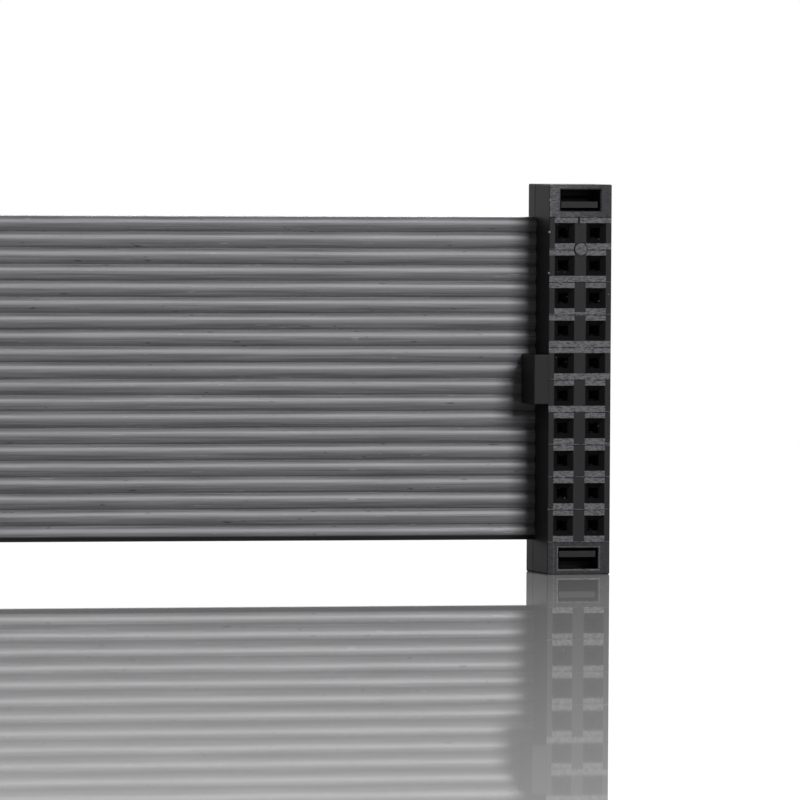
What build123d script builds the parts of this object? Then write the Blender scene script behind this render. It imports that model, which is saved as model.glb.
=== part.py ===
# A flat ribbon cable with a 2 x 10 pressed-on socket at each end, in millimetres.
#
# X runs along the ribbon, which leaves the near socket towards -X. Both mating faces look
# towards -Y and both covers towards +Y. The sockets stand on end, so Z runs along the rows.
# The origin is the centre of the near housing's foot, the end face that it stands on.

import math
import os

from build123d import *

# Cable: overall length over both sockets, and the flat ribbon itself.
cable_length = 200.0
wire_pitch = 1.27
wire_diameter = 0.38
ridge_width = 1.20
ridge_thickness = 0.90
web_thickness = 0.36
wire_clearance = 0.01

# Rows of holes: one row serves two neighbouring wires, one wire for each column.
row_count = 10
row_pitch = 2 * wire_pitch
column_spacing = 2.54

# Housing and cover.
socket_width = 5.08
end_block = 2.54
housing_depth = 4.10
cover_depth = 1.90
corner_radius = 0.12
face_edge_radius = 0.08
seam_chamfer = 0.06
ribbon_clearance = 0.02

# Pin holes: a tapered mouth, a straight throat, then a cavity for the spring beams.
mouth_width = 1.62
mouth_height = 1.60
mouth_depth = 0.38
mouth_taper = 46.5
throat_length = 0.22

# Stamped contact: two spring beams for a square pin, and a fork that straddles a wire.
sheet_thickness = 0.30
beam_outer_half = 0.72
beam_root_gap_half = 0.38
beam_pinch_half = 0.27
beam_tip_gap_half = 0.44
beam_tip_outer_half = 0.60
beam_pinch_setback = 0.45
beam_tip_setback = 0.06
bridge_depth = 0.70
bridge_cover = 0.06
tine_width = 0.32
tine_reach = 0.30
tine_point = 0.22
slot_floor = 0.30
contact_clearance = 0.02
beam_clearance = 0.06

# Latch window at each end of the housing, and the cover's leg that snaps into it.
window_width = 3.25
window_height = 1.66
window_end_wall = 0.42
window_chamfer = 0.10
window_ledge_depth = 2.90
leg_width = 2.95
leg_thickness = 0.48
leg_outer_offset = 0.93
leg_tip_setback = 0.35
leg_barb = 0.42
leg_barb_length = 1.20
leg_barb_flat = 0.15
leg_clearance = 0.07

# Polarising key on the long side that the ribbon leaves from.
key_height = 3.90
key_protrusion = 1.16
key_ribbon_gap = 0.06
key_edge_radius = 0.12

# Places that follow from the sizes above.
wire_count = 2 * row_count
ribbon_height = wire_count * wire_pitch
socket_length = ribbon_height + 2 * end_block
socket_middle = socket_length / 2
face_y = -housing_depth / 2
joint_y = housing_depth / 2
far_x = socket_width - cable_length
key_depth = housing_depth - ridge_thickness / 2 - key_ribbon_gap
mouth_shrink = 2 * mouth_depth * math.tan(math.radians(mouth_taper))
throat_width = mouth_width - mouth_shrink
throat_height = mouth_height - mouth_shrink
cavity_y = face_y + mouth_depth + throat_length
bridge_rear_y = joint_y - ridge_thickness / 2 - bridge_cover
bridge_front_y = bridge_rear_y - bridge_depth
tine_tip_y = joint_y + ridge_thickness / 2 + tine_reach
slot_half = wire_diameter / 2 + wire_clearance
fork_half = slot_half + tine_width
fork_offset = wire_pitch / 2
bridge_low = -beam_outer_half
bridge_high = fork_offset + fork_half
row_heights = [end_block + row_pitch * (row + 0.5) for row in range(row_count)]
wire_heights = [end_block + wire_pitch * (wire + 0.5) for wire in range(wire_count)]
window_spots = [
    window_end_wall + window_height / 2,
    socket_length - window_end_wall - window_height / 2,
]

# The ribbon's route is one straight run, from the far socket's outer side to the near one's.
ribbon_route = [
    (far_x - socket_width / 2, joint_y, socket_middle),
    (socket_width / 2, joint_y, socket_middle),
]

os.makedirs("parts", exist_ok=True)


def save(solid, name):
    solid.label = name
    export_step(solid, "parts/" + name + ".step")


def front_plane(x, y):
    # A sketch plane square to Y: sketch x is along +X and sketch y is along +Z. It looks
    # towards -Y, so a positive extrusion moves towards the mating face.
    return Plane(origin=(x, y, 0), x_dir=(1, 0, 0), z_dir=(0, -1, 0))


def side_plane(x):
    # A sketch plane square to X: sketch x is along +Y, sketch y is along +Z.
    return Plane(origin=(x, 0, 0), x_dir=(0, 1, 0), z_dir=(1, 0, 0))


def contact_spots():
    # Every contact's column side (-1 or 1) and row height, in the order of the wires.
    return [(side, height) for height in row_heights for side in (-1, 1)]


def ribbon_outline(growth):
    # The scalloped section of the ribbon, inside an open sketch on a side plane.
    with Locations((joint_y, socket_middle)):
        Rectangle(web_thickness + 2 * growth, ribbon_height - wire_pitch)
    with Locations(*[(joint_y, height) for height in wire_heights]):
        Ellipse(ridge_thickness / 2 + growth, ridge_width / 2 + growth)


def make_housing(x):
    with BuildPart() as housing:
        with BuildSketch(front_plane(x, joint_y)):
            with Locations((0, socket_middle)):
                Rectangle(socket_width, socket_length)
        extrude(amount=housing_depth)
        fillet(housing.edges().filter_by(Axis.Y), corner_radius)

        # The key stands on the side towards -X, flush with the mating face.
        with BuildSketch(front_plane(x, face_y + key_depth)):
            with Locations((-(socket_width + key_protrusion) / 2, socket_middle)):
                Rectangle(key_protrusion, key_height)
        extrude(amount=key_depth)
        key_corners = housing.edges().filter_by(Axis.Y).group_by(Axis.X)[0]
        fillet(key_corners, key_edge_radius)
        fillet(housing.faces().sort_by(Axis.Y)[0].outer_wire().edges(), face_edge_radius)
        chamfer(housing.faces().sort_by(Axis.Y)[-1].outer_wire().edges(), seam_chamfer)

        # Pin holes, from the mating face inwards: throats, mouths, beam cavities.
        hole_spots = [(side * column_spacing / 2, height) for side, height in contact_spots()]
        with BuildSketch(front_plane(x, cavity_y)):
            with Locations(*hole_spots):
                Rectangle(throat_width, throat_height)
        extrude(amount=mouth_depth + throat_length, mode=Mode.SUBTRACT)
        with BuildSketch(front_plane(x, face_y)):
            with Locations(*hole_spots):
                Rectangle(mouth_width, mouth_height)
        extrude(amount=-mouth_depth, taper=mouth_taper, mode=Mode.SUBTRACT)
        with BuildSketch(front_plane(x, bridge_front_y)):
            with Locations(*hole_spots):
                Rectangle(throat_width, 2 * (beam_outer_half + beam_clearance))
        extrude(amount=bridge_front_y - cavity_y, mode=Mode.SUBTRACT)

        # Slots behind the cavities that hold each contact's bridge and fork.
        bridge_span = bridge_high - bridge_low
        bridge_middle = (bridge_high + bridge_low) / 2
        slot_spots = [
            (side * column_spacing / 2, height + side * bridge_middle)
            for side, height in contact_spots()
        ]
        with BuildSketch(front_plane(x, joint_y)):
            with Locations(*slot_spots):
                Rectangle(
                    sheet_thickness + 2 * contact_clearance,
                    bridge_span + 2 * contact_clearance,
                )
        slot_depth = joint_y - bridge_front_y
        extrude(amount=slot_depth, mode=Mode.SUBTRACT)

        # The scalloped groove that clamps the ribbon, right across the socket.
        with BuildSketch(side_plane(x)):
            ribbon_outline(ribbon_clearance)
        extrude(amount=socket_width, both=True, mode=Mode.SUBTRACT)

        # Latch windows: a wide mouth in front, and behind it a narrower way for the leg.
        with BuildSketch(front_plane(x, face_y)):
            with Locations(*[(0, height) for height in window_spots]):
                Rectangle(window_width, window_height)
        extrude(amount=-window_ledge_depth, mode=Mode.SUBTRACT)
        rim = 2 * window_chamfer
        with BuildSketch(front_plane(x, face_y)):
            with Locations(*[(0, height) for height in window_spots]):
                Rectangle(window_width + rim, window_height + rim)
        extrude(amount=-window_chamfer, taper=45, mode=Mode.SUBTRACT)
        way_outer = window_end_wall + leg_outer_offset - leg_clearance
        way_inner = window_end_wall + window_height
        way_middle = (way_outer + way_inner) / 2
        with BuildSketch(front_plane(x, joint_y)):
            with Locations((0, way_middle), (0, socket_length - way_middle)):
                Rectangle(window_width, way_inner - way_outer)
        extrude(amount=housing_depth, mode=Mode.SUBTRACT)
    return housing.part


def leg_profile(foot, outward):
    # One latch leg in a side plane. foot is the height of its outer face, and outward is -1
    # for the leg at the socket's foot and 1 for the leg at its head.
    tip_y = face_y + leg_tip_setback
    ledge_y = face_y + window_ledge_depth - leg_clearance
    barb_y = ledge_y - leg_barb_flat
    inner = foot - outward * leg_thickness
    root_y = joint_y + cover_depth / 2
    return [
        (root_y, inner),
        (tip_y, inner),
        (tip_y, foot),
        (max(barb_y - leg_barb_length, tip_y + seam_chamfer), foot),
        (barb_y, foot + outward * leg_barb),
        (ledge_y, foot + outward * leg_barb),
        (ledge_y, foot),
        (root_y, foot),
    ]


def make_cover(x):
    leg_foot = window_end_wall + leg_outer_offset
    legs = [(leg_foot, -1), (socket_length - leg_foot, 1)]
    with BuildPart() as cover:
        with BuildSketch(front_plane(x, joint_y + cover_depth)):
            with Locations((0, socket_middle)):
                Rectangle(socket_width, socket_length)
        extrude(amount=cover_depth)
        fillet(cover.edges().filter_by(Axis.Y), corner_radius)
        fillet(cover.faces().sort_by(Axis.Y)[-1].outer_wire().edges(), face_edge_radius)
        chamfer(cover.faces().sort_by(Axis.Y)[0].outer_wire().edges(), seam_chamfer)
        with BuildSketch(side_plane(x)):
            ribbon_outline(ribbon_clearance)
        extrude(amount=socket_width, both=True, mode=Mode.SUBTRACT)

        # Pockets that take the points of the forks once they have passed the ribbon.
        pocket_spots = [
            (side * column_spacing / 2, height + side * fork_offset)
            for side, height in contact_spots()
        ]
        pocket_depth = tine_tip_y + contact_clearance - joint_y
        with BuildSketch(front_plane(x, joint_y)):
            with Locations(*pocket_spots):
                Rectangle(
                    sheet_thickness + 2 * contact_clearance,
                    2 * (fork_half + contact_clearance),
                )
        extrude(amount=-pocket_depth, mode=Mode.SUBTRACT)

        for foot, outward in legs:
            with BuildSketch(side_plane(x)):
                with BuildLine():
                    Polyline(*leg_profile(foot, outward), close=True)
                make_face()
            extrude(amount=leg_width / 2, both=True)
    return cover.part


def contact_outline(height, side):
    # The stamped outline in a side plane, as a list of (y, z) points. The fork stands off
    # towards the wire that this column serves, so the outline mirrors with the side.
    tip_y = cavity_y + beam_tip_setback
    pinch_y = tip_y + beam_pinch_setback
    tine_shoulder_y = tine_tip_y - tine_point
    fork_low = fork_offset - fork_half
    fork_high = fork_offset + fork_half
    slot_low = fork_offset - slot_half
    slot_high = fork_offset + slot_half
    slot_floor_y = bridge_rear_y - slot_floor
    outline = [
        (bridge_front_y, -beam_outer_half),
        (pinch_y, -beam_outer_half),
        (tip_y, -beam_tip_outer_half),
        (tip_y, -beam_tip_gap_half),
        (pinch_y, -beam_pinch_half),
        (bridge_front_y, -beam_root_gap_half),
        (bridge_front_y, beam_root_gap_half),
        (pinch_y, beam_pinch_half),
        (tip_y, beam_tip_gap_half),
        (tip_y, beam_tip_outer_half),
        (pinch_y, beam_outer_half),
        (bridge_front_y, beam_outer_half),
        (bridge_front_y, bridge_high),
        (bridge_rear_y, fork_high),
        (tine_shoulder_y, fork_high),
        (tine_tip_y, fork_high - tine_width / 3),
        (tine_shoulder_y, slot_high),
        (slot_floor_y, slot_high),
        (slot_floor_y, slot_low),
        (tine_shoulder_y, slot_low),
        (tine_tip_y, fork_low + tine_width / 3),
        (tine_shoulder_y, fork_low),
        (bridge_rear_y, fork_low),
        (bridge_rear_y, -beam_outer_half),
    ]
    return [(y, height + side * offset) for y, offset in outline]


def make_contact(x, side, height):
    with BuildPart() as contact:
        with BuildSketch(side_plane(x + side * column_spacing / 2)):
            with BuildLine():
                Polyline(*contact_outline(height, side), close=True)
            make_face()
        extrude(amount=sheet_thickness / 2, both=True)
    return contact.part


def make_insulation():
    with BuildPart() as insulation:
        with BuildSketch(side_plane(ribbon_route[0][0])):
            ribbon_outline(0)
            with Locations(*[(joint_y, height) for height in wire_heights]):
                Circle(wire_diameter / 2 + wire_clearance, mode=Mode.SUBTRACT)
        extrude(amount=cable_length)

        # Where the forks have cut through the insulation, at both ends.
        for x in (0, far_x):
            with BuildSketch(front_plane(x, joint_y)):
                with Locations(*[
                    (side * column_spacing / 2, height + side * fork_offset)
                    for side, height in contact_spots()
                ]):
                    Rectangle(
                        sheet_thickness + 2 * contact_clearance,
                        2 * (fork_half + contact_clearance),
                    )
            extrude(amount=ridge_thickness, both=True, mode=Mode.SUBTRACT)
    return insulation.part


def make_wire_pair(heights):
    with BuildPart() as pair:
        with BuildSketch(side_plane(ribbon_route[0][0])):
            with Locations(*[(joint_y, height) for height in heights]):
                Circle(wire_diameter / 2)
        extrude(amount=cable_length)
    return pair.part


for end_name, end_x in (("near", 0), ("far", far_x)):
    save(make_housing(end_x), end_name + "_housing")
    save(make_cover(end_x), end_name + "_cover")
    for number, (column_side, row_height) in enumerate(contact_spots(), start=1):
        contact_part = make_contact(end_x, column_side, row_height)
        save(contact_part, f"{end_name}_contact_{number:02d}")

save(make_insulation(), "ribbon_insulation")
for row in range(row_count):
    wire_pair = make_wire_pair(wire_heights[2 * row:2 * row + 2])
    save(wire_pair, f"conductor_pair_{row + 1:02d}")

print("ribbon: one straight run of", cable_length, "mm, no bends")
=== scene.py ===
import math
import random

import bmesh
import bpy
from mathutils import Matrix, Vector


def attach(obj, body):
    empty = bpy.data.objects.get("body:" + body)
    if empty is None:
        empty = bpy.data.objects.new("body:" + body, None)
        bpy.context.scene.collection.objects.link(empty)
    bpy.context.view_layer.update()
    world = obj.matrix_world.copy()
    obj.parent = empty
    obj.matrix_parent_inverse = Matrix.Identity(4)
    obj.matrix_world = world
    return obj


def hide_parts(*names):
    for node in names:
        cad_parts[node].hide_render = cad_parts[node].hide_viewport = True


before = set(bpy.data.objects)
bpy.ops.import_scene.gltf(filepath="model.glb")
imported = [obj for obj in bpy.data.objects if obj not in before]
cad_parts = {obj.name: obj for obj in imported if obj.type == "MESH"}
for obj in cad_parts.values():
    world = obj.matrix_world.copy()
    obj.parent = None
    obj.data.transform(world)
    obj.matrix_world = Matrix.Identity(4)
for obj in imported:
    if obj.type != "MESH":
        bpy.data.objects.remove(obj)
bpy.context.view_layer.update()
scene = bpy.context.scene
mm = 0.001


def hexToLinear(code, alpha=1.0):
    channels = [int(code[i:i + 2], 16) / 255 for i in (1, 3, 5)]
    linear = [c / 12.92 if c <= 0.04045 else ((c + 0.055) / 1.055) ** 2.4 for c in channels]
    return (*linear, alpha)


def addNode(tree, kind, settings=None, inputs=None, links=None):
    node = tree.nodes.new(kind)
    for name, value in (settings or {}).items():
        setattr(node, name, value)
    for name, value in (inputs or {}).items():
        node.inputs[name].default_value = value
    for name, socket in (links or {}).items():
        tree.links.new(socket, node.inputs[name])
    return node


# the camera stands level with the socket, a long way off, so the ribbon shows almost side on
cameraView = {
    "azimuth": -15.108,  # degrees, turned towards the side that the ribbon leaves
    "pitchDown": 1.611,
    "roll": 0.338,
    "distance": 800 * mm,
    "height": 36.0 * mm,
    "aside": -13.485 * mm,  # aims left of the socket, so that the ribbon fills the frame
    "focal": 459.9,  # mm, on a 36 mm sensor
}


def placeCamera(view):
    turn, pitch, roll = (math.radians(view[k]) for k in ("azimuth", "pitchDown", "roll"))
    right = Vector((math.cos(turn), math.sin(turn), 0))
    ahead = Vector((-math.sin(turn), math.cos(turn), 0))
    place = right * view["aside"] - ahead * view["distance"] + Vector((0, 0, view["height"]))
    look = ahead * math.cos(pitch) - Vector((0, 0, 1)) * math.sin(pitch)
    above = right.cross(look)
    across = right * math.cos(roll) + above * math.sin(roll)
    above = above * math.cos(roll) - right * math.sin(roll)
    camera = bpy.data.objects.new("camera", bpy.data.cameras.new("camera"))
    camera.data.lens = view["focal"]
    camera.data.sensor_width = 36
    turned = Matrix((across, above, -look)).transposed()
    camera.matrix_world = Matrix.Translation(place) @ turned.to_4x4()
    scene.collection.objects.link(camera)
    scene.camera = camera


placeCamera(cameraView)
print("camera placed")

# the ribbon: grey PVC in twenty ridges, one over each wire, joined by thin webs
ribbon = {
    "wires": 20,
    "wirePitch": 1.27 * mm,
    "lowestWire": 3.175 * mm,
    "edgeHalfWidth": 0.60 * mm,  # from an outermost wire to the ribbon's edge
    "ridgeThickness": 0.90 * mm,
    "webThickness": 0.36 * mm,  # where two ridges meet in a sharp valley
    "arcSteps": 12,  # points over one ridge
    "lengthSteps": 90,
    "cutBack": 0.02 * mm,  # the cut wires stand this much out of the cut insulation
}
# one straight run between the sockets' outer sides, as in the CAD
ribbonRoute = [(-0.19746, 0.00205, 0.01524), (0.00254, 0.00205, 0.01524)]


def routePoints(route):
    curve = bpy.data.curves.new("ribbonRoute", "CURVE")
    curve.dimensions = "3D"
    spline = curve.splines.new("NURBS")
    spline.points.add(len(route) - 1)
    for point, place in zip(spline.points, route):
        point.co = (*place, 1)
    spline.order_u = 3
    spline.use_endpoint_u = True
    carrier = bpy.data.objects.new("ribbonRoute", curve)
    line = bpy.data.meshes.new_from_object(carrier)
    points = [tuple(vertex.co) for vertex in line.vertices]
    bpy.data.objects.remove(carrier)
    return points


def ridgedFront(sizes):
    # the front half of the section, from the lower edge to the upper one, as (y, z)
    halfThick = sizes["ridgeThickness"] / 2
    webAngle = math.asin(sizes["webThickness"] / 2 / halfThick)
    halfWide = sizes["wirePitch"] / 2 / math.cos(webAngle)
    front, valleys = [], set()
    for wire in range(sizes["wires"]):
        middle = sizes["lowestWire"] + wire * sizes["wirePitch"]
        lowest, highest = wire == 0, wire == sizes["wires"] - 1
        first = 0 if lowest else webAngle
        last = math.pi if highest else math.pi - webAngle
        for step in range(0 if lowest else 1, sizes["arcSteps"]):
            angle = first + (last - first) * step / (sizes["arcSteps"] - 1)
            rise = -math.cos(angle)
            outer = (lowest and rise < 0) or (highest and rise > 0)
            wide = sizes["edgeHalfWidth"] if outer else halfWide
            front.append((-halfThick * math.sin(angle), middle + wide * rise))
        if not highest:
            valleys.add(len(front) - 1)
    return front, valleys


def makeRibbon(sizes, route):
    front, valleys = ridgedFront(sizes)
    section = front + [(-y, z) for y, z in reversed(front[1:-1])]
    valleyPoints = {(round(front[i][1], 9)) for i in valleys}
    start = route[0][0] + sizes["cutBack"]
    step = (route[-1][0] - sizes["cutBack"] - start) / sizes["lengthSteps"]
    bm = bmesh.new()
    ring = [bm.verts.new((start, route[0][1] + y, z)) for y, z in section]
    edges = [bm.edges.new((ring[i - 1], ring[i])) for i in range(len(ring))]
    bmesh.ops.contextual_create(bm, geom=edges)
    for _ in range(sizes["lengthSteps"]):
        grown = bmesh.ops.extrude_edge_only(bm, edges=edges)["geom"]
        verts = {item for item in grown if isinstance(item, bmesh.types.BMVert)}
        edges = [item for item in grown if isinstance(item, bmesh.types.BMEdge)
                 and verts.issuperset(item.verts)]
        bmesh.ops.translate(bm, vec=(step, 0, 0), verts=list(verts))
    bmesh.ops.contextual_create(bm, geom=edges)
    bmesh.ops.recalc_face_normals(bm, faces=bm.faces)
    for face in bm.faces:
        face.smooth = len(face.verts) == 4
    for edge in bm.edges:
        heights = {round(vertex.co.z, 9) for vertex in edge.verts}
        if len(heights) == 1 and heights <= valleyPoints:
            edge.smooth = False
    return finishPiece(bm, "ribbonSkin")


def finishPiece(bm, name):
    mesh = bpy.data.meshes.new(name)
    bm.to_mesh(mesh)
    bm.free()
    piece = bpy.data.objects.new(name, mesh)
    scene.collection.objects.link(piece)
    return piece


ribbonSkin = makeRibbon(ribbon, ribbonRoute)
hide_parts("ribbon_insulation")
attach(ribbonSkin, "root")
routePoints(ribbonRoute)
print("ribbon made")

# moulding marks on each mating face, where the tool's inserts meet
marks = {
    "faceY": -2.05 * mm,
    "flashWidth": 4.9 * mm,
    "flashHeight": 0.09 * mm,
    "flashProud": 0.06 * mm,
    "barPitch": 2.54 * mm,
    "bars": 11,
    "ejectorRadius": 0.50 * mm,
    "ejectorProud": 0.085 * mm,
    "ejectorPlace": (0.02 * mm, 25.42 * mm),
    # crumbs as (x, y, z, radius) in mm: first flash crumbs on the face's edges, then pale specks in the
    # funnels, which are painted glints of the contacts
    "crumbAndGlintSpots": [
        (-2.50, -2.05, 29.25, 0.08), (-2.53, -2.05, 26.75, 0.12), (-2.55, -2.05, 23.55, 0.10),
        (-1.20, -2.05, 25.10, 0.05), (2.30, -2.05, 21.90, 0.05), (-2.47, -2.05, 5.10, 0.06),
        (-1.85, -1.95, 27.38, 0.04), (-1.30, -1.80, 26.10, 0.05), (-1.02, -1.72, 27.02, 0.03),
        (1.55, -1.78, 26.22, 0.04), (-1.75, -1.82, 23.62, 0.03), (-1.20, -1.78, 23.60, 0.04),
        (-0.98, -1.74, 21.70, 0.03), (1.60, -1.74, 21.35, 0.04), (-1.85, -1.88, 16.95, 0.03),
        (-1.05, -1.74, 16.65, 0.04), (1.62, -1.74, 11.60, 0.04), (-1.10, -1.80, 6.00, 0.04),
        (1.30, -1.82, 3.30, 0.03),
    ],
    "seed": 7,
}
socketMiddles = {"near": 0.0, "far": -194.92 * mm}


def makeFlash(sizes, name, middle):
    # a thin ragged fin of plastic along the middle of every bar
    shake = random.Random(sizes["seed"])
    bm = bmesh.new()
    for bar in range(1, sizes["bars"] + 1):
        fin = bmesh.ops.create_cube(bm, size=1)["verts"]
        scale = (sizes["flashWidth"], 2 * sizes["flashProud"], sizes["flashHeight"])
        bmesh.ops.scale(bm, vec=scale, verts=fin)
        height = bar * sizes["barPitch"]
        bmesh.ops.translate(bm, vec=(middle, sizes["faceY"], height), verts=fin)
    long = [e for e in bm.edges if e.calc_length() > sizes["flashWidth"] / 2]
    bmesh.ops.subdivide_edges(bm, edges=long, cuts=30)
    for vertex in bm.verts:
        if vertex.co.y < sizes["faceY"]:
            vertex.co.y += sizes["flashProud"] * shake.uniform(0, 1.2)
        vertex.co.z += sizes["flashHeight"] * shake.uniform(-0.25, 0.25)
    bmesh.ops.recalc_face_normals(bm, faces=bm.faces)
    return finishPiece(bm, name)


def makeEjectorMark(sizes, name, middle):
    # the round pad that the ejector pin leaves, a little proud, with a soft edge
    x, z = sizes["ejectorPlace"]
    bm = bmesh.new()
    bmesh.ops.create_circle(bm, cap_ends=True, radius=sizes["ejectorRadius"], segments=40)
    grown = bmesh.ops.extrude_face_region(bm, geom=list(bm.faces))["geom"]
    verts = [item for item in grown if isinstance(item, bmesh.types.BMVert)]
    bmesh.ops.translate(bm, vec=(0, 0, 2 * sizes["ejectorProud"]), verts=verts)
    rim = [e for e in bm.edges if all(v in verts for v in e.verts)]
    bmesh.ops.bevel(bm, geom=rim, offset=0.04 * mm, segments=3, profile=0.5,
                    affect="EDGES", material=-1)
    bmesh.ops.rotate(bm, cent=(0, 0, 0), matrix=Matrix.Rotation(math.pi / 2, 3, "X"), verts=bm.verts)
    bmesh.ops.translate(bm, vec=(middle + x, sizes["faceY"] + sizes["ejectorProud"], z), verts=bm.verts)
    bmesh.ops.recalc_face_normals(bm, faces=bm.faces)
    return finishPiece(bm, name)


def makeCrumbsAndGlints(sizes, name, middle):
    # crumbs of flash that cling to the edges of the face, and pale specks in the funnels as painted glints
    # of the contacts
    shake = random.Random(sizes["seed"])
    bm = bmesh.new()
    for x, y, z, size in sizes["crumbAndGlintSpots"]:
        nub = bmesh.ops.create_icosphere(bm, subdivisions=2, radius=size * mm)["verts"]
        for vertex in nub:
            vertex.co *= shake.uniform(0.75, 1.1)
        bmesh.ops.scale(bm, vec=(1, 0.6, 0.9), verts=nub)
        bmesh.ops.translate(bm, vec=(middle + x * mm, y * mm, z * mm), verts=nub)
    for face in bm.faces:
        face.smooth = True
    return finishPiece(bm, name)


facePieces = []
for end, middle in socketMiddles.items():
    facePieces.append((makeFlash(marks, end + "Flash", middle), end))
    facePieces.append((makeEjectorMark(marks, end + "EjectorMark", middle), end))
    facePieces.append((makeCrumbsAndGlints(marks, end + "CrumbsAndGlints", middle), end))
for piece, end in facePieces:
    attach(piece, "root")
print("moulding marks made")


# materials
def makeMaterial(name):
    material = bpy.data.materials.new(name)
    material.use_nodes = True
    tree = material.node_tree
    return material, tree, tree.nodes["Principled BSDF"]


def dress(piece, material):
    piece.data.materials.clear()
    piece.data.materials.append(material)


housingFinish = {
    "dark": "#141416",
    "pale": "#202022",
    "shadeAndLineDark": "#08080a",  # the holes' polished walls, darkened further as painted shade, and the painted shadow under the fins and the dark lines on the face
    # the spark-eroded finish's colour, also used for the painted highlights on the fins and the window
    # rims
    "matteAndHighlight": "#6e6e72",
    "smoothRoughness": 0.50,
    "matteRoughness": 0.65,
    "holeHalf": 0.79,  # mm, as are the rest
    "columnHalf": 0.82,
    "columnMiddle": 1.27,
    "rowPitch": 2.54,
    "rowsBottom": 2.54,
    "rowsTop": 27.94,
    "windows": [(1.25, 1.0), (29.23, 0.3)],  # middle height, and how strong the painted highlight on the rim's chamfer is
    "windowHalf": (1.625, 0.83),
    "faceY": -2.03,
    "grit": 0.13,  # real spark grit is about 0.03, too fine to show
    "gritDepth": 0.014,
    # heights at which the matte finish goes on across the middle rib and the two edges
    "ribMatte": [(22.86, 23.33), (20.22, 20.50), (17.31, 18.25), (15.26, 15.71), (12.72, 13.17),
                 (27.46, 27.94)],
    "leftMatte": [(24.93, 25.42), (22.39, 23.33), (19.85, 20.32), (17.31, 18.25), (12.70, 13.17)],
    "rightMatte": [(25.40, 25.87), (17.31, 18.25), (15.28, 15.71), (10.05, 10.30),
                   (27.46, 27.94)],
    "ejector": (0.02, 25.42, 0.50),
    "keyHeights": (13.29, 17.19),
}


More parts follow.
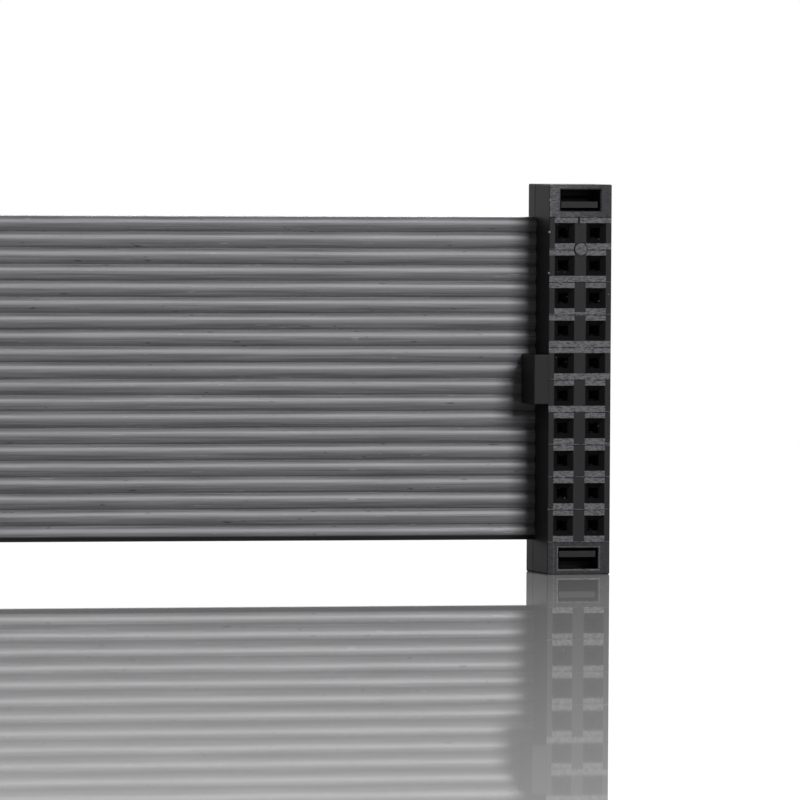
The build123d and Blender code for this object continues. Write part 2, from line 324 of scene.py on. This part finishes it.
def sparkErodedPbt(name, middle, finish):
    # Glass-filled PBT, injection moulded. The tool's polished inserts leave the ribs smooth and
    # dark, and its spark-eroded ones leave the bars and the head of the face pale and gritty.
    material, tree, shader = makeMaterial(name)

    def math2(operation, first, second=None, third=None):
        node = tree.nodes.new("ShaderNodeMath")
        node.operation = operation
        for index, value in enumerate((first, second, third)):
            if isinstance(value, (int, float)):
                node.inputs[index].default_value = value
            elif value is not None:
                tree.links.new(value, node.inputs[index])
        return node.outputs[0]

    def within(value, ranges):
        found = None
        for low, high in ranges:
            here = math2("COMPARE", value, (low + high) / 2, (high - low) / 2)
            found = here if found is None else math2("MAXIMUM", found, here)
        return found

    coords = addNode(tree, "ShaderNodeTexCoord")
    place = addNode(tree, "ShaderNodeMapping", inputs={
        "Location": (-middle / mm, 0, 0), "Scale": (1 / mm, 1 / mm, 1 / mm)},
        links={"Vector": coords.outputs["Object"]})
    axes = addNode(tree, "ShaderNodeSeparateXYZ", links={0: place.outputs[0]})
    x, y, z = axes.outputs[0], axes.outputs[1], axes.outputs[2]
    across = math2("ABSOLUTE", x)

    # the bars between the holes, as wide as the holes, and a painted highlight on the upper half of the
    # fin along each mould line
    phase = math2("FRACT", math2("MULTIPLY_ADD", z, 1 / finish["rowPitch"], 0.5))
    fromBar = math2("ABSOLUTE", math2("SUBTRACT", phase, 0.5))
    inBar = math2("LESS_THAN", fromBar, 0.5 - finish["holeHalf"] / finish["rowPitch"])
    inColumn = math2("COMPARE", across, finish["columnMiddle"], finish["columnHalf"])
    onRib = math2("MULTIPLY", math2("LESS_THAN", across, 0.5), within(z, finish["ribMatte"]))
    onLeft = math2("MULTIPLY", math2("LESS_THAN", x, -2.0), within(z, finish["leftMatte"]))
    onRight = math2("MULTIPLY", math2("GREATER_THAN", x, 2.0), within(z, finish["rightMatte"]))
    # pale upper half of each fin: a painted highlight where the fin's top would catch the light
    finHighlight = math2("MULTIPLY", within(phase, [(0.497, 0.517)]), math2("LESS_THAN", across, 2.54))
    strips = math2("MAXIMUM", math2("MAXIMUM", inColumn, onRib), math2("MAXIMUM", onLeft, onRight))
    inRows = within(z, [(finish["rowsBottom"], finish["rowsTop"])])
    bars = math2("MULTIPLY", math2("MAXIMUM", math2("MULTIPLY", inBar, strips),
                                   math2("MULTIPLY", finHighlight, 0.8)), inRows)
    footLine = math2("MULTIPLY", within(x, [(-2.06, -1.96)]),
                     math2("LESS_THAN", z, finish["rowsBottom"]))

    # the round ejector mark, pale inside a dark line
    markX, markZ, markRadius = finish["ejector"]
    away = math2("SQRT", math2("ADD", math2("POWER", math2("SUBTRACT", x, markX), 2.0),
                               math2("POWER", math2("SUBTRACT", z, markZ), 2.0)))
    inMark = math2("LESS_THAN", away, markRadius)
    markLine = math2("COMPARE", away, markRadius + 0.02, 0.045)

    # the head of the face is matte, most at its left, and the foot is nearly smooth
    head = math2("MULTIPLY", math2("GREATER_THAN", z, finish["rowsTop"]), addNode(
        tree, "ShaderNodeMapRange", inputs={
            "From Min": -2.5, "From Max": 1.8, "To Min": 0.75, "To Max": 0.25},
        links={"Value": x}).outputs[0])
    foot = math2("MULTIPLY", math2("LESS_THAN", z, finish["rowsBottom"]), 0.16)
    ends = math2("MAXIMUM", math2("MAXIMUM", head, foot), math2("MULTIPLY", footLine, 0.4))
    matteAndHighlight = math2("MAXIMUM", math2("MAXIMUM", bars, inMark), ends)
    onFace = math2("LESS_THAN", y, finish["faceY"])
    # a painted highlight on the chamfer round each end window, paler at the foot than at the head
    rimHighlights = 0.0
    for height, pale in finish["windows"]:
        outside = math2("MAXIMUM",
                        math2("SUBTRACT", across, finish["windowHalf"][0]),
                        math2("SUBTRACT", math2("ABSOLUTE", math2("SUBTRACT", z, height)),
                              finish["windowHalf"][1]))
        rimHighlights = math2("MAXIMUM", rimHighlights, math2("MULTIPLY", math2("COMPARE", outside, 0.06, 0.07), pale))
    rimHighlights = math2("MULTIPLY", rimHighlights, math2("LESS_THAN", y, finish["faceY"] + 0.08))
    matteAndHighlightFace = math2("MAXIMUM", math2("MULTIPLY", matteAndHighlight, onFace), rimHighlights)

    # grit, dragged sideways a little, and faint flow streaks down the walls
    dragged = addNode(tree, "ShaderNodeMapping", inputs={"Scale": (0.45, 1.0, 1.4)},
                      links={"Vector": place.outputs[0]})
    grit = addNode(tree, "ShaderNodeTexNoise", inputs={
        "Scale": 1 / finish["grit"], "Detail": 3.0, "Roughness": 0.65},
        links={"Vector": dragged.outputs[0]})
    stretched = addNode(tree, "ShaderNodeMapping", inputs={"Scale": (1.6, 1.6, 0.12)},
                        links={"Vector": place.outputs[0]})
    flow = addNode(tree, "ShaderNodeTexNoise", inputs={"Scale": 1.3, "Detail": 2.0},
                   links={"Vector": stretched.outputs[0]})
    gritty = addNode(tree, "ShaderNodeMapRange", inputs={
        "From Min": 0.32, "From Max": 0.68, "To Min": 0.15, "To Max": 1.35},
        links={"Value": grit.outputs["Fac"]})
    paleness = addNode(tree, "ShaderNodeMath", {"operation": "MULTIPLY", "use_clamp": True},
                       links={0: matteAndHighlightFace, 1: gritty.outputs[0]})
    walls = addNode(tree, "ShaderNodeMix", {"data_type": "RGBA"}, {
        "A": hexToLinear(finish["dark"]), "B": hexToLinear(finish["pale"])},
        {"Factor": flow.outputs["Fac"]})
    surface = addNode(tree, "ShaderNodeMix", {"data_type": "RGBA"},
                      {"B": hexToLinear(finish["matteAndHighlight"])},
                      {"Factor": paleness.outputs[0], "A": walls.outputs["Result"]})

    # darker: painted shade over the holes' walls, a broken painted shadow under every mould line's fin,
    # and the mark's edge
    holeShade = math2("MULTIPLY", math2("MULTIPLY", math2("GREATER_THAN", y, finish["faceY"]), inColumn),
                   inRows)
    # the painted shadow just under each fin, broken where the flow noise is low
    broken = math2("GREATER_THAN", flow.outputs["Fac"], 0.44)
    finShadow = math2("MULTIPLY", within(phase, [(0.470, 0.494)]), broken)
    notch = math2("MULTIPLY", within(x, [(-0.22, -0.04)]), within(z, [(27.30, 27.94)]))
    keyEdge = math2("MULTIPLY", within(x, [(-2.58, -2.50)]), within(z, [finish["keyHeights"]]))
    offMark = math2("MULTIPLY", finShadow, math2("MULTIPLY", math2("SUBTRACT", 1.0, inMark),
                                             math2("LESS_THAN", across, 2.54)))
    found = math2("MAXIMUM", math2("MAXIMUM", offMark, markLine), math2("MAXIMUM", notch, keyEdge))
    lines = math2("MULTIPLY", math2("MULTIPLY", found, onFace), inRows)
    shadeAndLines = math2("MAXIMUM", holeShade, lines)
    colour = addNode(tree, "ShaderNodeMix", {"data_type": "RGBA"},
                     {"B": hexToLinear(finish["shadeAndLineDark"])},
                     {"Factor": shadeAndLines, "A": surface.outputs["Result"]})
    roughness = addNode(tree, "ShaderNodeMapRange", inputs={
        "To Min": finish["smoothRoughness"], "To Max": finish["matteRoughness"]},
        links={"Value": matteAndHighlightFace})
    relief = addNode(tree, "ShaderNodeMapRange", inputs={"To Min": 0.06, "To Max": 1.0},
                     links={"Value": matteAndHighlightFace})
    height = math2("MULTIPLY", grit.outputs["Fac"], relief.outputs[0])
    bump = addNode(tree, "ShaderNodeBump", inputs={"Distance": finish["gritDepth"] * mm},
                   links={"Height": height})
    tree.links.new(colour.outputs["Result"], shader.inputs["Base Color"])
    tree.links.new(roughness.outputs[0], shader.inputs["Roughness"])
    tree.links.new(bump.outputs[0], shader.inputs["Normal"])
    shader.inputs["IOR"].default_value = 1.5
    shader.inputs["Specular IOR Level"].default_value = 0.2
    return material


coverFinish = {"dark": "#151517", "pale": "#222224", "roughness": 0.48, "grain": 0.16, "grainDepth": 0.004}


def polishedPbt(name, finish):
    # The same PBT from a polished tool: even, dark and satin, with faint flow streaks.
    material, tree, shader = makeMaterial(name)
    coords = addNode(tree, "ShaderNodeTexCoord")
    place = addNode(tree, "ShaderNodeMapping", inputs={"Scale": (1 / mm, 1 / mm, 1 / mm)},
                    links={"Vector": coords.outputs["Object"]})
    stretched = addNode(tree, "ShaderNodeMapping", inputs={"Scale": (1.4, 1.4, 0.15)},
                        links={"Vector": place.outputs[0]})
    flow = addNode(tree, "ShaderNodeTexNoise", inputs={"Scale": 1.2, "Detail": 3.0},
                   links={"Vector": stretched.outputs[0]})
    grain = addNode(tree, "ShaderNodeTexNoise", inputs={"Scale": 1 / finish["grain"], "Detail": 2.0},
                    links={"Vector": place.outputs[0]})
    colour = addNode(tree, "ShaderNodeMix", {"data_type": "RGBA"}, {
        "A": hexToLinear(finish["dark"]), "B": hexToLinear(finish["pale"])},
        {"Factor": flow.outputs["Fac"]})
    bump = addNode(tree, "ShaderNodeBump", inputs={"Distance": finish["grainDepth"] * mm},
                   links={"Height": grain.outputs["Fac"]})
    tree.links.new(colour.outputs["Result"], shader.inputs["Base Color"])
    tree.links.new(bump.outputs[0], shader.inputs["Normal"])
    shader.inputs["Roughness"].default_value = finish["roughness"]
    shader.inputs["IOR"].default_value = 1.5
    shader.inputs["Specular IOR Level"].default_value = 0.2
    return material


ribbonFinish = {
    "valley": "#5a5a5d",
    "body": "#69696c",
    "streak": "#7f7f82",
    "speck": "#3a3a3c",
    "scuffAndGlint": "#9c9c9e",
    "edge": "#1a1a1c",
    "edgeTop": 2.98,  # mm; below this the lowest ridge is nearly black

    "roughness": 0.43,
    "streakLength": 9.0,  # mm along the ribbon
    "streakWidth": 0.16,  # mm across it
    "streakDepth": 0.006,  # mm
}


def extrudedPvc(name, finish):
    # Flexible PVC, drawn over the wires through a die, which leaves long fine streaks and a
    # satin skin, with a few specks of dirt.
    material, tree, shader = makeMaterial(name)
    coords = addNode(tree, "ShaderNodeTexCoord")
    place = addNode(tree, "ShaderNodeMapping", inputs={"Scale": (1 / mm, 1 / mm, 1 / mm)},
                    links={"Vector": coords.outputs["Object"]})
    drawn = addNode(tree, "ShaderNodeMapping", inputs={
        "Scale": (1 / finish["streakLength"], 1 / finish["streakWidth"], 1 / finish["streakWidth"])},
        links={"Vector": place.outputs[0]})
    streaks = addNode(tree, "ShaderNodeTexNoise", inputs={"Scale": 1.0, "Detail": 4.0, "Roughness": 0.6},
                      links={"Vector": drawn.outputs[0]})
    shares = addNode(tree, "ShaderNodeMapRange", inputs={
        "From Min": 0.32, "From Max": 0.68}, links={"Value": streaks.outputs["Fac"]})
    body = addNode(tree, "ShaderNodeMix", {"data_type": "RGBA"}, {
        "A": hexToLinear(finish["valley"]), "B": hexToLinear(finish["streak"])},
        {"Factor": shares.outputs[0]})
    dashes = addNode(tree, "ShaderNodeMapping", inputs={"Scale": (0.9, 5.0, 5.0)},
                     links={"Vector": place.outputs[0]})
    specks = addNode(tree, "ShaderNodeTexNoise", inputs={"Scale": 1.0, "Detail": 1.0},
                     links={"Vector": dashes.outputs[0]})
    dirty = addNode(tree, "ShaderNodeMapRange", inputs={
        "From Min": 0.73, "From Max": 0.79}, links={"Value": specks.outputs["Fac"]})
    colour = addNode(tree, "ShaderNodeMix", {"data_type": "RGBA"},
                     {"B": hexToLinear(finish["speck"])},
                     {"Factor": dirty.outputs[0], "A": body.outputs["Result"]})
    # pale streaks along the ribbon: scuffs, and also painted glints along the ridges
    scuffAndGlintPlace = addNode(tree, "ShaderNodeMapping", inputs={
        "Location": (31, 17, 5), "Scale": (0.55, 7.0, 7.0)}, links={"Vector": place.outputs[0]})
    scuffAndGlintNoise = addNode(tree, "ShaderNodeTexNoise", inputs={"Scale": 1.0, "Detail": 2.0},
                     links={"Vector": scuffAndGlintPlace.outputs[0]})
    scuffAndGlintShare = addNode(tree, "ShaderNodeMapRange", inputs={
        "From Min": 0.70, "From Max": 0.78, "To Max": 0.8}, links={"Value": scuffAndGlintNoise.outputs["Fac"]})
    colour = addNode(tree, "ShaderNodeMix", {"data_type": "RGBA"},
                     {"B": hexToLinear(finish["scuffAndGlint"])},
                     {"Factor": scuffAndGlintShare.outputs[0], "A": colour.outputs["Result"]})
    axes = addNode(tree, "ShaderNodeSeparateXYZ", links={0: place.outputs[0]})
    atEdge = addNode(tree, "ShaderNodeMapRange", inputs={
        "From Min": finish["edgeTop"] + 0.07, "From Max": finish["edgeTop"] - 0.07},
        links={"Value": axes.outputs[2]})
    colour = addNode(tree, "ShaderNodeMix", {"data_type": "RGBA"},
                     {"B": hexToLinear(finish["edge"])},
                     {"Factor": atEdge.outputs[0], "A": colour.outputs["Result"]})
    bump = addNode(tree, "ShaderNodeBump", inputs={"Distance": finish["streakDepth"] * mm},
                   links={"Height": streaks.outputs["Fac"]})
    tree.links.new(colour.outputs["Result"], shader.inputs["Base Color"])
    tree.links.new(bump.outputs[0], shader.inputs["Normal"])
    shader.inputs["Roughness"].default_value = finish["roughness"]
    shader.inputs["IOR"].default_value = 1.53
    return material


def tornPbtAndGlints(name):
    # Crumbs of flash torn at the mould's edge: rough, whitened where the glass fibres show. On the specks
    # in the funnels the same pale colour is a painted glint of the contacts.
    material, tree, shader = makeMaterial(name)
    coords = addNode(tree, "ShaderNodeTexCoord")
    fibres = addNode(tree, "ShaderNodeTexNoise", inputs={"Scale": 18 / mm, "Detail": 2.0},
                     links={"Vector": coords.outputs["Object"]})
    colour = addNode(tree, "ShaderNodeMix", {"data_type": "RGBA"}, {
        "A": hexToLinear("#4a4742"), "B": hexToLinear("#a39d92")}, {"Factor": fibres.outputs["Fac"]})
    tree.links.new(colour.outputs["Result"], shader.inputs["Base Color"])
    shader.inputs["Roughness"].default_value = 0.7
    return material


def tinnedMetal(name, pale, dull, roughness):
    # Tin plate over bronze or copper: soft silvery shine with duller patches.
    material, tree, shader = makeMaterial(name)
    coords = addNode(tree, "ShaderNodeTexCoord")
    patches = addNode(tree, "ShaderNodeTexNoise", inputs={"Scale": 2.5 / mm, "Detail": 3.0},
                      links={"Vector": coords.outputs["Object"]})
    colour = addNode(tree, "ShaderNodeMix", {"data_type": "RGBA"}, {
        "A": hexToLinear(pale), "B": hexToLinear(dull)}, {"Factor": patches.outputs["Fac"]})
    shine = addNode(tree, "ShaderNodeMapRange", inputs={
        "To Min": roughness - 0.1, "To Max": roughness + 0.15}, links={"Value": patches.outputs["Fac"]})
    tree.links.new(colour.outputs["Result"], shader.inputs["Base Color"])
    tree.links.new(shine.outputs[0], shader.inputs["Roughness"])
    shader.inputs["Metallic"].default_value = 1.0
    return material


housingBlack = {end: sparkErodedPbt(end + "SparkErodedPbt", middle, housingFinish)
                for end, middle in socketMiddles.items()}
coverBlack = polishedPbt("polishedPbt", coverFinish)
greyPvc = extrudedPvc("extrudedPvc", ribbonFinish)
crumbAndGlintPbt = tornPbtAndGlints("tornPbtAndGlints")
tinnedBronze = tinnedMetal("tinnedPhosphorBronze", "#a8a49c", "#7d7970", 0.30)
tinnedCopper = tinnedMetal("tinnedCopperStrand", "#cfc9bf", "#b59a80", 0.36)

dress(ribbonSkin, greyPvc)
for piece, end in facePieces:
    dress(piece, crumbAndGlintPbt if piece.name.endswith("CrumbsAndGlints") else housingBlack[end])
for name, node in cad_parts.items():
    end = name.split("_")[0]
    if name.endswith("housing"):
        dress(node, housingBlack[end])
    elif name.endswith("cover"):
        dress(node, coverBlack)
    elif "contact" in name:
        dress(node, tinnedBronze)
    elif "conductor" in name:
        dress(node, tinnedCopper)
print("materials made")

# stage: a polished white acrylic floor in front of a white backdrop
stage = {"floorHalf": 4.0, "glossRoughness": 0.015, "edgeGloss": 1.215, "glow": 0.72, "bounce": 0.25}


def makeFloor(sizes):
    bm = bmesh.new()
    bmesh.ops.create_grid(bm, x_segments=1, y_segments=1, size=sizes["floorHalf"])
    floor = finishPiece(bm, "floor")
    material, tree, shader = makeMaterial("whiteAcrylicPolished")
    tree.nodes.remove(shader)
    out = tree.nodes["Material Output"]
    path = addNode(tree, "ShaderNodeLightPath")
    fresnel = addNode(tree, "ShaderNodeFresnel", inputs={"IOR": 1.5})
    edge = addNode(tree, "ShaderNodeMath", {"operation": "MULTIPLY", "use_clamp": True},
                   {1: sizes["edgeGloss"]}, {0: fresnel.outputs[0]})
    glow = addNode(tree, "ShaderNodeEmission", inputs={"Strength": sizes["glow"]})
    white = addNode(tree, "ShaderNodeBsdfDiffuse", inputs={"Color": (0.9, 0.9, 0.9, 1)})
    base = addNode(tree, "ShaderNodeAddShader", links={0: glow.outputs[0], 1: white.outputs[0]})
    gloss = addNode(tree, "ShaderNodeBsdfGlossy", inputs={
        "Color": (1, 1, 1, 1), "Roughness": sizes["glossRoughness"]})
    seen = addNode(tree, "ShaderNodeMixShader", links={
        "Fac": edge.outputs[0], 1: base.outputs[0], 2: gloss.outputs[0]})
    bounce = addNode(tree, "ShaderNodeBsdfDiffuse", inputs={"Color": (*[sizes["bounce"]] * 3, 1)})
    mix = addNode(tree, "ShaderNodeMixShader", links={
        "Fac": path.outputs["Is Camera Ray"], 1: bounce.outputs[0], 2: seen.outputs[0]})
    tree.links.new(mix.outputs[0], out.inputs["Surface"])
    dress(floor, material)


surround = {"front": 0.08, "back": 0.24, "wallTop": 0.10}  # wallTop as a slope


def lightWorld(sizes):
    # paler behind the object than in front of it, with a low white wall all round that
    # the glossy floor mirrors
    world = bpy.data.worlds.new("surround")
    scene.world = world
    world.use_nodes = True
    tree = world.node_tree
    tree.nodes.clear()
    out = addNode(tree, "ShaderNodeOutputWorld")
    path = addNode(tree, "ShaderNodeLightPath")
    coords = addNode(tree, "ShaderNodeTexCoord")
    axes = addNode(tree, "ShaderNodeSeparateXYZ", links={0: coords.outputs["Generated"]})
    fade = addNode(tree, "ShaderNodeMapRange", inputs={
        "From Min": -0.25, "From Max": 0.35, "To Min": sizes["front"], "To Max": sizes["back"]},
        links={"Value": axes.outputs[1]})
    low = addNode(tree, "ShaderNodeMapRange", inputs={
        "From Min": 0.5, "From Max": sizes["wallTop"]}, links={"Value": axes.outputs[2]})
    wall = addNode(tree, "ShaderNodeMath", {"operation": "MULTIPLY"},
                   links={0: low.outputs[0], 1: path.outputs["Is Glossy Ray"]})
    level = addNode(tree, "ShaderNodeMix", {"data_type": "FLOAT"}, {3: 1.0},
                    {0: wall.outputs[0], 2: fade.outputs[0]})
    soft = addNode(tree, "ShaderNodeBackground", links={"Strength": level.outputs[0]})
    white = addNode(tree, "ShaderNodeBackground", inputs={"Color": (1, 1, 1, 1)})
    soft.inputs["Color"].default_value = (1, 1, 1, 1)
    mix = addNode(tree, "ShaderNodeMixShader", links={
        "Fac": path.outputs["Is Camera Ray"], 1: soft.outputs[0], 2: white.outputs[0]})
    tree.links.new(mix.outputs[0], out.inputs["Surface"])


lamps = {
    "frontSoftbox": {"azimuth": 20, "elevation": 25, "distance": 0.9, "size": 0.34, "watts": 6.6},
    "backSoftbox": {"azimuth": 158, "elevation": 38, "distance": 0.9, "size": 0.34, "watts": 5.2},
}
lampAim = (0, 0, 15 * mm)


def hangLamps(lamps, aim):
    for name, lamp in lamps.items():
        turn, rise = math.radians(lamp["azimuth"]), math.radians(lamp["elevation"])
        away = Vector((math.sin(turn) * math.cos(rise), -math.cos(turn) * math.cos(rise), math.sin(rise)))
        data = bpy.data.lights.new(name, "AREA")
        data.size = lamp["size"]
        data.energy = lamp["watts"]
        light = bpy.data.objects.new(name, data)
        facing = (-away).to_track_quat("-Z", "Y").to_matrix().to_4x4()
        light.matrix_world = Matrix.Translation(Vector(aim) + away * lamp["distance"]) @ facing
        scene.collection.objects.link(light)


makeFloor(stage)
lightWorld(surround)
hangLamps(lamps, lampAim)
scene.view_settings.view_transform = "Standard"
print("stage lit")
